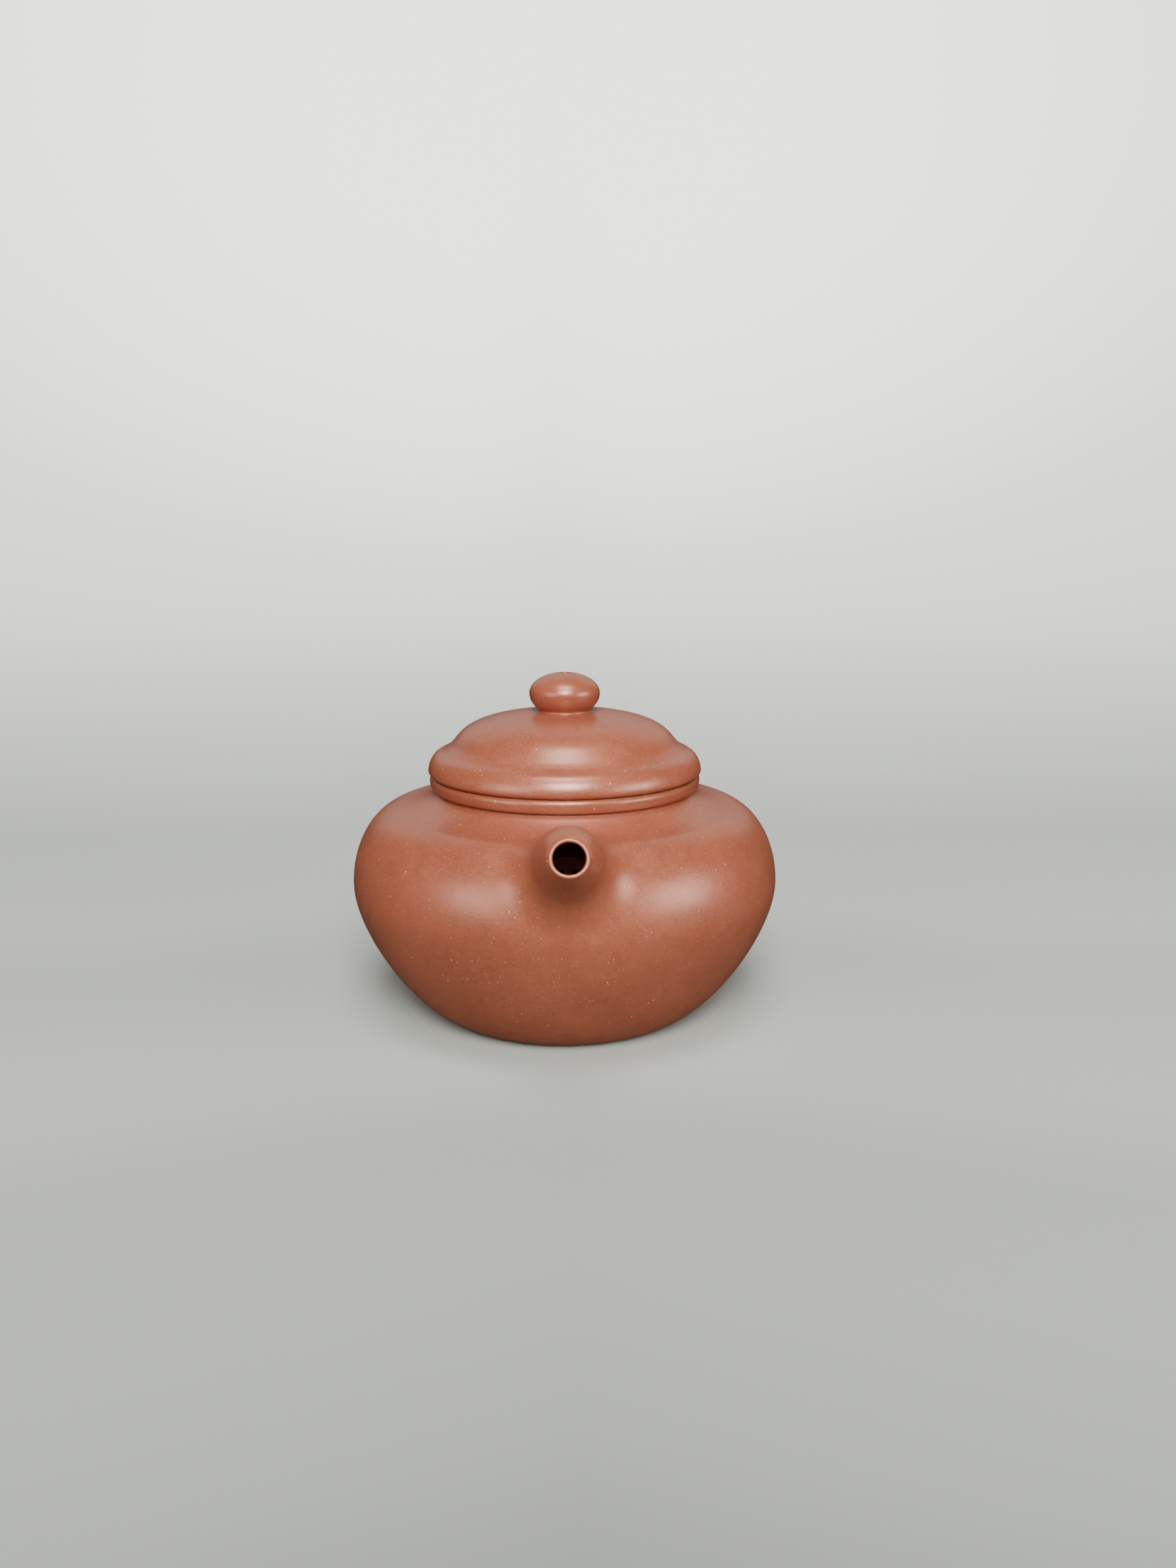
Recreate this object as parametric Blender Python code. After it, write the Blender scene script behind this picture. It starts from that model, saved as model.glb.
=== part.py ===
"""A Yixing clay teapot: a slab-built pot with a spout and an ear handle, and a lid that lifts and turns.

Sizes are in millimetres until a mesh is made. The turning axis is Z, the foot stands on z = 0,
the spout points along -Y and the handle along +Y.
"""

import math

import bmesh
import bpy
from mathutils import Euler, Matrix, Vector
from mathutils.geometry import interpolate_bezier

METRES = 0.001
GAP = 0.3  # kept between pieces that touch
TURN_STEPS = 40  # flats round every turned piece
HALF_TURN = math.pi
SAME_PLACE = 1e-7  # corners closer than this, in metres, are one corner
SHARP_ANGLE = math.radians(40.0)  # edges that turn further than this stay sharp

# The pot's outside, as (radius, height)
FOOT = Vector((28.6, 0.0))
FOOT_SLOPE = math.radians(15.6)
FOOT_HANDLE = 9.2
BELLY = Vector((50.0, 31.7))
BELLY_HANDLE_DOWN = 10.1
BELLY_HANDLE_UP = 8.7
BELLY_STEPS_DOWN = 8
BELLY_STEPS_UP = 7
SHOULDER = Vector((39.2, 49.2))
SHOULDER_SLOPE = math.radians(6.2)
SHOULDER_HANDLE = 6.2
SHOULDER_HANDLE_IN = 3.72
NECK = Vector((29.9, 53.4))
NECK_SLOPE = math.radians(45.0)
NECK_HANDLE = 2.1
NECK_STEPS = 5
WALL = 2.8
BASE_RADIUS = 27.6
BASE_THICKNESS = 3.2
FLOOR_STEP = 0.2  # how far above the floor the wall's inside starts to curve

# The mouth and the ring laid round it
MOUTH_RADIUS = 27.6
MOUTH_EDGE_DEPTH = 4.0  # how deep the slab's edge is at the mouth
MOUTH_BEVEL = Vector((2.4, -0.6))  # from that edge to where the slab's underside starts
RING_RADIUS = 31.7
RING_EQUATOR = 55.3
RING_TOP = 56.2
RING_ROUND = 1.5  # how far the rounding reaches in from the ring's widest line
RING_BEVEL = 0.4  # on its inner edge
RING_STEPS_DOWN = 4
RING_STEPS_UP = 3

# The lid
LID_SEAT = RING_TOP + GAP
EDGE = Vector((32.0, 58.8))
EDGE_ROUND = 1.7
EDGE_HANDLE = 1.6
EDGE_STEPS_DOWN = 5
EDGE_STEPS_UP = 6
VALLEY = Vector((29.2, 61.95))
VALLEY_SLOPE = math.radians(18.0)
VALLEY_HANDLE_OUT = 1.9
VALLEY_HANDLE_IN = 1.0
DOME_FOOT = Vector((26.95, 63.35))
DOME_FOOT_SLOPE = math.radians(40.0)
DOME_FOOT_HANDLE_OUT = 1.1
DOME_FOOT_HANDLE_IN = 3.6
DOME_FOOT_STEPS = 3
DOME_TOP = 71.1
DOME_TOP_HANDLE = 24.5
DOME_STEPS = 9
LID_THICKNESS = 2.6
PLATE_RADIUS = 28.5
PLATE_RIM = VALLEY.y + 0.25  # the height of the slab's top at its rim
EDGE_RIM = VALLEY.y + 0.1  # the height of the rolled edge where it meets the slab
PLATE_STEP = 0.1  # the lid's outlines start this far from the cut between slab and rolled edge
DOME_UNDERSIDE = 23.6  # the hollow under the dome reaches this far out
UNDERSIDE_STEP = 1.0  # from the seat up to where the hollow starts
BEZEL_RADIUS = 27.2
BEZEL_BORE = 24.4
BEZEL_FOOT = 48.4
BEZEL_CHAMFER = 0.6

# The knob and the air hole through it and the lid
KNOB_RADIUS = 8.05
KNOB_EQUATOR = 75.3
KNOB_HEIGHT_ABOVE = 4.8
KNOB_HEIGHT_BELOW = 6.8
KNOB_STEPS = 32  # flats round it
KNOB_STEPS_DOWN = 4
KNOB_STEPS_UP = 7
AIR_HOLE_RADIUS = 1.0
AIR_HOLE_LIP = 0.35

# The spout, as (y, z) points on its bent centre line, and its section
SPOUT_LINE = [
    Vector((0, -40.0, 38.0)),
    Vector((0, -45.0, 48.4)),
    Vector((0, -54.0, 50.1)),
    Vector((0, -62.5, 52.5)),
]
SPOUT_TIP_TILT = math.radians(30.0)  # how far the pouring face looks above level
SPOUT_TIP_RADIUS = 4.0
SPOUT_ROOT_RADIUS = 9.4
SPOUT_TIP_WALL = 0.85
SPOUT_ROOT_WALL = 3.4
SPOUT_TAPER = 0.58
SPOUT_TAPER_EASE = 0.05  # keeps the taper from turning in sharply at the lip
SPOUT_RINGS = 9
SPOUT_STEPS = 24
SPOUT_PLACE = Vector((0, -46.4, 43.8))  # where the hole in the wall is
SPOUT_SLOPE = math.radians(41.0)  # and how steeply it rises outwards
SPOUT_HOLE_RADIUS = 4.8
SPOUT_HOLE_LENGTH = 24.0

# The ball strainer over the hole inside the pot
STRAINER_RADIUS = 6.7
STRAINER_WALL = 1.3
STRAINER_SKIRT = 6.0
STRAINER_HOLE_RADIUS = 0.8
STRAINER_RINGS = [(1, 0.0), (6, 27.0), (10, 54.0)]  # how many holes, and their angle from the ball's axis
STRAINER_STEPS = 16
STRAINER_OUTLINE_STEPS = 5
STRAINER_HOLE_LENGTH = 5.2
STRAINER_HOLE_STEPS = 8

# The handle, as points on its centre line, and its section
HANDLE_LINE = [
    Vector((0, 39.0, 44.5)),
    Vector((0, 56.0, 57.0)),
    Vector((0, 80.5, 56.0)),
    Vector((0, 80.5, 38.5)),
    Vector((0, 80.5, 25.0)),
    Vector((0, 60.0, 18.5)),
    Vector((0, 41.0, 15.5)),
]
HANDLE_WIDTH = 4.4  # half the width across
HANDLE_DEPTH = 3.3  # half the thickness
HANDLE_ROOT_GROWTH = 0.45  # how much fuller it is at its roots
HANDLE_ROOT_EASE = 4  # a higher power keeps the fuller part nearer the roots
HANDLE_STEPS = 16
HANDLE_RINGS = 9  # in each half of the centre line


def clear_scene():
    """Removes every object that the scene starts with."""
    for thing in list(bpy.data.objects):
        bpy.data.objects.remove(thing, do_unlink=True)


def clay(name, colour, roughness):
    """Unglazed fired clay of one colour."""
    material = bpy.data.materials.new(name)
    material.use_nodes = True
    shader = material.node_tree.nodes["Principled BSDF"]
    shader.inputs["Base Color"].default_value = (*colour, 1.0)
    shader.inputs["Roughness"].default_value = roughness
    shader.inputs["Metallic"].default_value = 0.0
    return material


def clay_tone(lightness):
    """The pot's red-brown clay, a little lighter or darker."""
    return tuple(part * lightness for part in (0.42, 0.15, 0.085))


def heading(slope):
    """A step of one along an outline that rises outwards at this slope."""
    return Vector((math.cos(slope), math.sin(slope)))


def curve(start, start_handle, end_handle, end, steps):
    """Points along a Bezier curve, both ends included."""
    return [point.to_2d() for point in interpolate_bezier(
        start.to_3d(), start_handle.to_3d(), end_handle.to_3d(), end.to_3d(), steps + 1)]


def quarter(centre, across, up, start, end, steps):
    """Points on an ellipse round a centre, from one angle to another in degrees."""
    points = []
    for step in range(steps + 1):
        angle = math.radians(start + (end - start) * step / steps)
        points.append(centre + Vector((across * math.cos(angle), up * math.sin(angle))))
    return points


def offset(points, distance):
    """The outline moved to its left, seen along its direction, by a distance."""
    moved = []
    for index, point in enumerate(points):
        before = points[max(index - 1, 0)]
        after = points[min(index + 1, len(points) - 1)]
        along = (after - before).normalized()
        moved.append(point + Vector((-along.y, along.x)) * distance)
    return moved


def wall_outline():
    """The outside of the wall, from the foot up to the top of the shoulder."""
    lower = curve(FOOT, FOOT + heading(FOOT_SLOPE) * FOOT_HANDLE,
                  BELLY - Vector((0, BELLY_HANDLE_DOWN)), BELLY, BELLY_STEPS_DOWN)
    upper = curve(BELLY, BELLY + Vector((0, BELLY_HANDLE_UP)),
                  SHOULDER + heading(-SHOULDER_SLOPE) * SHOULDER_HANDLE, SHOULDER, BELLY_STEPS_UP)
    return lower + upper[1:]


def neck_outline():
    """The outside of the shoulder disc, from the wall's top edge up to the neck."""
    return curve(SHOULDER, SHOULDER - heading(-SHOULDER_SLOPE) * SHOULDER_HANDLE_IN,
                 NECK + heading(-NECK_SLOPE) * NECK_HANDLE, NECK, NECK_STEPS)


def edge_outline():
    """The top of the lid's rolled edge, from its widest line in to the valley."""
    return curve(EDGE, EDGE + Vector((0, EDGE_HANDLE)),
                 VALLEY + heading(-VALLEY_SLOPE) * VALLEY_HANDLE_OUT, VALLEY, EDGE_STEPS_UP)


def dome_outline():
    """The top of the lid, from the valley in to the middle."""
    rise = curve(VALLEY, VALLEY - heading(-VALLEY_SLOPE) * VALLEY_HANDLE_IN,
                 DOME_FOOT + heading(-DOME_FOOT_SLOPE) * DOME_FOOT_HANDLE_OUT, DOME_FOOT,
                 DOME_FOOT_STEPS)
    dome = curve(DOME_FOOT, DOME_FOOT - heading(-DOME_FOOT_SLOPE) * DOME_FOOT_HANDLE_IN,
                 Vector((DOME_TOP_HANDLE, DOME_TOP)), Vector((0, DOME_TOP)), DOME_STEPS)
    return rise + dome[1:]


def finish(name, mesh_builder, material):
    """Turns a bmesh into an object with outward faces, smooth except at real corners."""
    bmesh.ops.remove_doubles(mesh_builder, verts=mesh_builder.verts, dist=SAME_PLACE)
    bmesh.ops.recalc_face_normals(mesh_builder, faces=mesh_builder.faces)
    mesh = bpy.data.meshes.new(name)
    mesh_builder.to_mesh(mesh)
    mesh_builder.free()
    mesh.shade_smooth()
    mesh.set_sharp_from_angle(angle=SHARP_ANGLE)
    thing = bpy.data.objects.new(name, mesh)
    bpy.context.scene.collection.objects.link(thing)
    if material:
        mesh.materials.append(material)
    return thing


def turned(name, outline, material=None, steps=TURN_STEPS):
    """Turns a closed outline of (radius, height) points once round Z."""
    builder = bmesh.new()
    corners = [builder.verts.new((point.x * METRES, 0, point.y * METRES)) for point in outline]
    edges = [builder.edges.new((corners[index - 1], corners[index])) for index in range(len(corners))]
    bmesh.ops.spin(builder, geom=corners + edges, axis=(0, 0, 1), cent=(0, 0, 0), steps=steps,
                   angle=2 * HALF_TURN, use_merge=True, use_duplicate=False)
    return finish(name, builder, material)


def lofted(name, rings, material=None, joined_ends=False):
    """Skins a row of rings. The last joins the first, or both ends are capped."""
    builder = bmesh.new()
    corners = [[builder.verts.new(point * METRES) for point in ring] for ring in rings]
    pairs = list(zip(corners, corners[1:]))
    if joined_ends:
        pairs.append((corners[-1], corners[0]))
    else:
        builder.faces.new(corners[0])
        builder.faces.new(corners[-1])
    for near, far in pairs:
        for index in range(len(near)):
            builder.faces.new((near[index - 1], near[index], far[index], far[index - 1]))
    return finish(name, builder, material)


def ring_across(centre, along, across, up, steps):
    """An elliptical ring round a centre, square to a direction in the YZ plane."""
    side = Vector((1, 0, 0))
    top = side.cross(along).normalized()
    points = []
    for step in range(steps):
        angle = 2 * HALF_TURN * step / steps
        points.append(centre + side * across * math.cos(angle) + top * up * math.sin(angle))
    return points


def boolean(target, operation, other):
    """Cuts a target with a helper, or keeps what they share, and hides the helper."""
    other.hide_render = True
    other.display_type = "WIRE"
    modifier = target.modifiers.new(operation.lower(), "BOOLEAN")
    modifier.operation = operation
    modifier.solver = "EXACT"
    modifier.object = other


def make_base_disc():
    """The round slab that the pot stands on."""
    outline = [Vector((0, 0)), Vector((BASE_RADIUS, 0)),
               Vector((BASE_RADIUS, BASE_THICKNESS)), Vector((0, BASE_THICKNESS))]
    return turned("base_disc", outline, clay("clay_base", clay_tone(0.92), 0.5))


def make_body_wall():
    """The strip of clay beaten out to the belly and in to the shoulder."""
    outside = wall_outline()
    inside = [point for point in offset(outside, WALL) if point.y > BASE_THICKNESS + FLOOR_STEP]
    floor_radius = BASE_RADIUS + GAP
    outline = outside + inside[::-1] + [Vector((floor_radius, BASE_THICKNESS)), Vector((floor_radius, 0))]
    return turned("body_wall", outline, clay("clay_wall", clay_tone(1.0), 0.42))


def make_shoulder_disc():
    """The slab that closes the shoulder, with the mouth cut through it."""
    outside = neck_outline()
    inner_edge = offset(outside, WALL)[0]
    seam = heading(-SHOULDER_SLOPE) * GAP
    outside[0] = outside[0] - seam
    mouth_edge = Vector((MOUTH_RADIUS, NECK.y - MOUTH_EDGE_DEPTH))
    inside = [inner_edge - seam, mouth_edge + MOUTH_BEVEL, mouth_edge]
    outline = outside + [Vector((MOUTH_RADIUS, NECK.y))] + inside[::-1]
    return turned("shoulder_disc", outline, clay("clay_shoulder", clay_tone(1.03), 0.42))


def make_mouth_ring():
    """The rounded ring laid on the neck, which carries the lid."""
    foot = NECK.y + GAP
    centre = Vector((RING_RADIUS - RING_ROUND, RING_EQUATOR))
    outside = quarter(centre, RING_ROUND, RING_EQUATOR - foot, -90, 0, RING_STEPS_DOWN)
    outside += quarter(centre, RING_ROUND, RING_TOP - RING_EQUATOR, 0, 90, RING_STEPS_UP)[1:]
    outline = [Vector((MOUTH_RADIUS, foot))] + outside
    outline += [Vector((MOUTH_RADIUS + RING_BEVEL, RING_TOP)), Vector((MOUTH_RADIUS, RING_TOP - RING_BEVEL))]
    return turned("mouth_ring", outline, clay("clay_ring", clay_tone(1.06), 0.38))


def pot_volume(name, growth):
    """A helper: everything inside the pot's outside, grown or shrunk by a distance."""
    outside = offset(wall_outline() + neck_outline()[1:], -growth)
    top = Vector((0, outside[-1].y))
    return turned(name, [Vector((0, outside[0].y))] + outside + [top])


def spout_growth(along):
    """How far the spout has grown from its tip, 0 there and 1 at its root, which is along 0."""
    tip = SPOUT_TAPER_EASE ** SPOUT_TAPER
    root = (1 + SPOUT_TAPER_EASE) ** SPOUT_TAPER
    return ((1 - along + SPOUT_TAPER_EASE) ** SPOUT_TAPER - tip) / (root - tip)


def spout_radius(along):
    """The spout's outer radius, from its root at 0 to its tip at 1."""
    return SPOUT_TIP_RADIUS + (SPOUT_ROOT_RADIUS - SPOUT_TIP_RADIUS) * spout_growth(along)


def spout_wall(along):
    """The spout's wall, from its root at 0 to its tip at 1."""
    return SPOUT_TIP_WALL + (SPOUT_ROOT_WALL - SPOUT_TIP_WALL) * spout_growth(along)


def spout_sections():
    """The centre, the direction and the place along it of each ring of the spout."""
    centres = interpolate_bezier(*SPOUT_LINE, SPOUT_RINGS)
    sections = []
    for index, centre in enumerate(centres):
        near = centres[max(index - 1, 0)]
        far = centres[min(index + 1, SPOUT_RINGS - 1)]
        sections.append((centre, (far - near).normalized(), index / (SPOUT_RINGS - 1)))
    tip_direction = Vector((0, -math.cos(SPOUT_TIP_TILT), math.sin(SPOUT_TIP_TILT)))
    sections[-1] = (centres[-1], tip_direction, 1.0)
    return sections


def make_spout(pot):
    """The short bent spout, hollow all through, cut to sit on the wall."""
    outer = []
    inner = []
    for centre, along, place in spout_sections():
        radius = spout_radius(place)
        bore = radius - spout_wall(place)
        outer.append(ring_across(centre, along, radius, radius, SPOUT_STEPS))
        inner.append(ring_across(centre, along, bore, bore, SPOUT_STEPS))
    spout = lofted("spout", outer + inner[::-1], clay("clay_spout", clay_tone(0.97), 0.4), joined_ends=True)
    boolean(spout, "DIFFERENCE", pot)
    return spout


def spout_direction():
    """The way out through the hole that leads into the spout."""
    return Vector((0, -math.cos(SPOUT_SLOPE), math.sin(SPOUT_SLOPE)))


def round_bar(name, centre, direction, radius, length, steps):
    """A helper: a round bar through a centre."""
    builder = bmesh.new()
    turn = Vector((0, 0, 1)).rotation_difference(direction).to_matrix().to_4x4()
    bmesh.ops.create_cone(builder, cap_ends=True, segments=steps, radius1=radius * METRES,
                          radius2=radius * METRES, depth=length * METRES,
                          matrix=Matrix.Translation(centre * METRES) @ turn)
    return finish(name, builder, None)


def pierce_wall(wall):
    """Cuts the hole that leads into the spout."""
    hole = round_bar("spout_hole_cutter", SPOUT_PLACE, spout_direction(), SPOUT_HOLE_RADIUS,
                     SPOUT_HOLE_LENGTH, SPOUT_STEPS)
    boolean(wall, "DIFFERENCE", hole)


def make_strainer(inside):
    """The pierced ball that keeps the leaves out of the spout."""
    middle = Vector((0, STRAINER_SKIRT))
    outer = quarter(middle, STRAINER_RADIUS, STRAINER_RADIUS, 0, 90, STRAINER_OUTLINE_STEPS)
    bore = STRAINER_RADIUS - STRAINER_WALL
    inner = quarter(middle, bore, bore, 90, 0, STRAINER_OUTLINE_STEPS)
    outline = [Vector((STRAINER_RADIUS, 0))] + outer + inner + [Vector((bore, 0))]
    strainer = turned("strainer", outline, clay("clay_strainer", clay_tone(0.9), 0.55), STRAINER_STEPS)
    inwards = -spout_direction()
    start = SPOUT_PLACE + inwards * (WALL - STRAINER_SKIRT)
    strainer.location = start * METRES
    strainer.rotation_mode = "QUATERNION"
    strainer.rotation_quaternion = Vector((0, 0, 1)).rotation_difference(inwards)
    boolean(strainer, "INTERSECT", inside)
    centre = start + inwards * STRAINER_SKIRT
    for count, tilt in STRAINER_RINGS:
        for index in range(count):
            turn = Euler((0, math.radians(tilt), 2 * HALF_TURN * index / count), "XYZ")
            local = turn.to_matrix() @ Vector((0, 0, 1))
            outwards = strainer.rotation_quaternion @ local
            hole = round_bar(f"strainer_cutter_{count}_{index}", centre + outwards * STRAINER_RADIUS,
                             outwards, STRAINER_HOLE_RADIUS, STRAINER_HOLE_LENGTH, STRAINER_HOLE_STEPS)
            boolean(strainer, "DIFFERENCE", hole)
    return strainer


def make_handle(pot):
    """The ear-shaped handle, oval in section and fuller where it joins the wall."""
    upper = interpolate_bezier(*HANDLE_LINE[0:4], HANDLE_RINGS)
    lower = interpolate_bezier(*HANDLE_LINE[3:7], HANDLE_RINGS)
    centres = upper + lower[1:]
    rings = []
    for index, centre in enumerate(centres):
        near = centres[max(index - 1, 0)]
        far = centres[min(index + 1, len(centres) - 1)]
        from_middle = abs(2 * index / (len(centres) - 1) - 1)
        fuller = 1 + HANDLE_ROOT_GROWTH * from_middle ** HANDLE_ROOT_EASE
        rings.append(ring_across(centre, (far - near).normalized(), HANDLE_WIDTH * fuller,
                                 HANDLE_DEPTH * fuller, HANDLE_STEPS))
    handle = lofted("handle", rings, clay("clay_handle", clay_tone(0.98), 0.42))
    boolean(handle, "DIFFERENCE", pot)
    return handle


def make_lid_bezel():
    """The ring under the lid that sits inside the mouth and keeps the lid in place."""
    top = LID_SEAT - GAP
    outline = [Vector((BEZEL_BORE, BEZEL_FOOT)), Vector((BEZEL_RADIUS - BEZEL_CHAMFER, BEZEL_FOOT)),
               Vector((BEZEL_RADIUS, BEZEL_FOOT + BEZEL_CHAMFER)), Vector((BEZEL_RADIUS, top)),
               Vector((BEZEL_BORE, top))]
    return turned("lid_bezel", outline, clay("clay_bezel", clay_tone(0.95), 0.5))


def make_lid_edge():
    """The rolled ring round the rim of the lid."""
    inner = PLATE_RADIUS + GAP
    centre = Vector((EDGE.x - EDGE_ROUND, EDGE.y))
    under = quarter(centre, EDGE_ROUND, EDGE.y - LID_SEAT, -90, 0, EDGE_STEPS_DOWN)
    over = [point for point in edge_outline() if point.x > inner + PLATE_STEP]
    outline = [Vector((inner, LID_SEAT))] + under + over[1:] + [Vector((inner, EDGE_RIM))]
    return turned("lid_edge", outline, clay("clay_edge", clay_tone(1.04), 0.38))


def make_lid_plate():
    """The domed slab of the lid, with the air hole through its middle."""
    hole = 2 * AIR_HOLE_RADIUS
    dome = [point for point in dome_outline() if hole < point.x < PLATE_RADIUS - PLATE_STEP]
    top = [Vector((PLATE_RADIUS, PLATE_RIM))] + dome + [Vector((AIR_HOLE_RADIUS, DOME_TOP))]
    under = [point for point in offset(dome, LID_THICKNESS) if hole < point.x < DOME_UNDERSIDE]
    bottom = [Vector((AIR_HOLE_RADIUS, DOME_TOP - LID_THICKNESS))] + under[::-1]
    bottom += [Vector((BEZEL_BORE, LID_SEAT + UNDERSIDE_STEP)), Vector((BEZEL_BORE, LID_SEAT)),
               Vector((PLATE_RADIUS, LID_SEAT))]
    return turned("lid_plate", top + bottom, clay("clay_lid", clay_tone(1.05), 0.4))


def make_knob():
    """The flattened ball on top of the lid, with the air hole down through it."""
    foot = DOME_TOP + GAP
    centre = Vector((0, KNOB_EQUATOR))
    foot_angle = -math.degrees(math.asin((KNOB_EQUATOR - foot) / KNOB_HEIGHT_BELOW))
    lip_angle = math.degrees(math.acos((AIR_HOLE_RADIUS + AIR_HOLE_LIP) / KNOB_RADIUS))
    side = quarter(centre, KNOB_RADIUS, KNOB_HEIGHT_BELOW, foot_angle, 0, KNOB_STEPS_DOWN)
    side += quarter(centre, KNOB_RADIUS, KNOB_HEIGHT_ABOVE, 0, lip_angle, KNOB_STEPS_UP)[1:]
    outline = [Vector((AIR_HOLE_RADIUS, foot))] + side
    outline.append(Vector((AIR_HOLE_RADIUS, side[-1].y - AIR_HOLE_LIP)))
    return turned("knob", outline, clay("clay_knob", clay_tone(1.05), 0.36), KNOB_STEPS)


def make_pot():
    """Everything that stays on the table when the lid is lifted."""
    pot = pot_volume("pot_outside_cutter", GAP)
    inside = pot_volume("pot_inside_keeper", -(WALL + GAP))
    make_base_disc()
    pierce_wall(make_body_wall())
    make_shoulder_disc()
    make_mouth_ring()
    make_spout(pot)
    make_strainer(inside)
    make_handle(pot)


def make_lid():
    """The lid's pieces, hung from one empty on the axis that it lifts along and turns about."""
    axis = bpy.data.objects.new("lid_axis", None)
    axis.location = (0, 0, LID_SEAT * METRES)
    bpy.context.scene.collection.objects.link(axis)
    bpy.context.view_layer.update()
    for piece in (make_lid_bezel(), make_lid_plate(), make_lid_edge(), make_knob()):
        piece.parent = axis
        piece.matrix_parent_inverse = axis.matrix_world.inverted()


clear_scene()
make_pot()
make_lid()
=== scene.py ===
"""The looks of a Yixing clay teapot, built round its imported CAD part.

Shapes are worked out in millimetres, in the part's own frame: the turning axis is Z, the foot stands on
z = 0, the spout points along -Y and the handle along +Y. Points are turned into metres when a mesh is made.
"""

import math

import bmesh
import bpy
from mathutils import Euler, Matrix, Vector
from mathutils.geometry import interpolate_bezier


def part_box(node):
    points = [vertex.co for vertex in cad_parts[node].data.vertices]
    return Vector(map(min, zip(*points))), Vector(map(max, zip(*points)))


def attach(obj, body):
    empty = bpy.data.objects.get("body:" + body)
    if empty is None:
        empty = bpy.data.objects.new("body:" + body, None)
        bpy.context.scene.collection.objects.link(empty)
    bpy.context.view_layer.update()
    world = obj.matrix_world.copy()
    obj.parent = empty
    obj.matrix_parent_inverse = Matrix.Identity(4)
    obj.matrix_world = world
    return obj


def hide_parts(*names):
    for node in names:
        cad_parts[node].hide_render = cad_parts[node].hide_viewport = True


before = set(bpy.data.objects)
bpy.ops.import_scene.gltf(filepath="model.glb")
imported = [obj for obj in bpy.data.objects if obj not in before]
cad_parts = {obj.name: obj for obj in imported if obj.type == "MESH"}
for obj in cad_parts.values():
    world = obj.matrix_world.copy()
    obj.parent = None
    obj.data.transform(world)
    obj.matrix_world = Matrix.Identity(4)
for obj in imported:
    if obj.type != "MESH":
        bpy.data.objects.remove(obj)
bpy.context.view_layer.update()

METRES = 0.001
FULL_TURN = 2 * math.pi
UP = Vector((0, 0, 1))
ACROSS = Vector((1, 0, 0))


def reach(node, axis):
    """A CAD node's highest corner along one axis, in millimetres."""
    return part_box(node)[1][axis] / METRES


# How finely the pieces are made
TURN_STEPS = 256  # facets round a turned piece
OUTSIDE_STEPS = 44  # points along each curve of the pot's outside
INSIDE_EVERY = 3  # the inside takes one point in this many
TUBE_STEPS = 96  # facets round the spout and the handle
LID_EDGE_STEPS = 24
LID_RISE_STEPS = 16
LID_DOME_STEPS = 60
FILLET_STEPS = 8  # points along each small rounding of the knob
KNOB_TURN_STEPS = 160
HALVINGS = 30  # how often a search for a crossing halves its range
WALK_HALVINGS = 24
SAME_PLACE = 1e-7  # in metres: points closer than this become one
SHARP_ANGLE = math.radians(35)  # edges that bend more than this stay crisp
SEAM_STEP = 0.03  # a last short step at a seam, so that the shading runs straight on across it

# The pot's outside, as (radius, height)
FOOT = Vector((28.6, 0.0))
FOOT_SLOPE = math.radians(15.6)
FOOT_HANDLE = 9.2
BELLY = Vector((reach("body_wall", 0), 31.7))
BELLY_HANDLE_DOWN = 10.1
BELLY_HANDLE_UP = 8.7
SHOULDER = Vector((39.2, reach("body_wall", 2)))
SHOULDER_SLOPE = math.radians(6.2)
SHOULDER_HANDLE = 6.2
SHOULDER_HANDLE_IN = 4.4
NECK = Vector((29.9, reach("shoulder_disc", 2)))
NECK_SLOPE = math.radians(52.0)
NECK_HANDLE = 3.0
WALL = 2.8
TOP_CLEARANCE = 0.4  # no inside point lies closer than this to the wall's top corner
BASE_RADIUS = reach("base_disc", 0)
BASE_THICKNESS = reach("base_disc", 2)
BASE_HOLLOW = 0.25
BASE_MIDDLE = 0.5  # the radius of the flat cap in its middle
BASE_SUNK = 0.05  # how far its edge runs into the wall
HOLLOW_INSET = 4.0
FOOT_WIDTH = 2.5  # the strip round its edge that stands on the table

# The mouth and the ring laid round it
MOUTH_RADIUS = 27.6
SHOULDER_INSIDE = [Vector((30.0, NECK.y - 4.6)), Vector((MOUTH_RADIUS + 0.6, NECK.y - 4.2)),
                   Vector((MOUTH_RADIUS, NECK.y - 3.6))]
RING_RADIUS = reach("mouth_ring", 0)
RING_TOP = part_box("lid_plate")[0].z / METRES - 0.02  # it touches the lid that rests on it
RING_EQUATOR = 55.3
RING_ROUND = 0.9
RING_LIP = 0.4

# The lid
LID_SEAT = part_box("lid_plate")[0].z / METRES
EDGE = Vector((reach("lid_edge", 0), 57.6))
EDGE_ROUND = 1.7
EDGE_HANDLE = 1.5
VALLEY = Vector((29.2, 61.95))
VALLEY_SLOPE = math.radians(18.0)
VALLEY_HANDLE_OUT = 1.9
VALLEY_HANDLE_IN = 1.0
DOME_FOOT = Vector((26.95, 63.35))
DOME_FOOT_SLOPE = math.radians(40.0)
DOME_FOOT_HANDLE_OUT = 1.1
DOME_FOOT_HANDLE_IN = 3.6
DOME_TOP = reach("lid_plate", 2)
DOME_TOP_HANDLE = 24.5
LID_THICKNESS = 2.6
LID_SEAM = 28.65  # where the rolled edge meets the domed slab
BEZEL_RADIUS = reach("lid_bezel", 0)
BEZEL_BORE = 24.4
BEZEL_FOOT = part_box("lid_bezel")[0].z / METRES
BEZEL_TOP = LID_SEAT - 0.05  # a hair under the slab that turns on it
BEZEL_ROUND = 0.6

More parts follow.
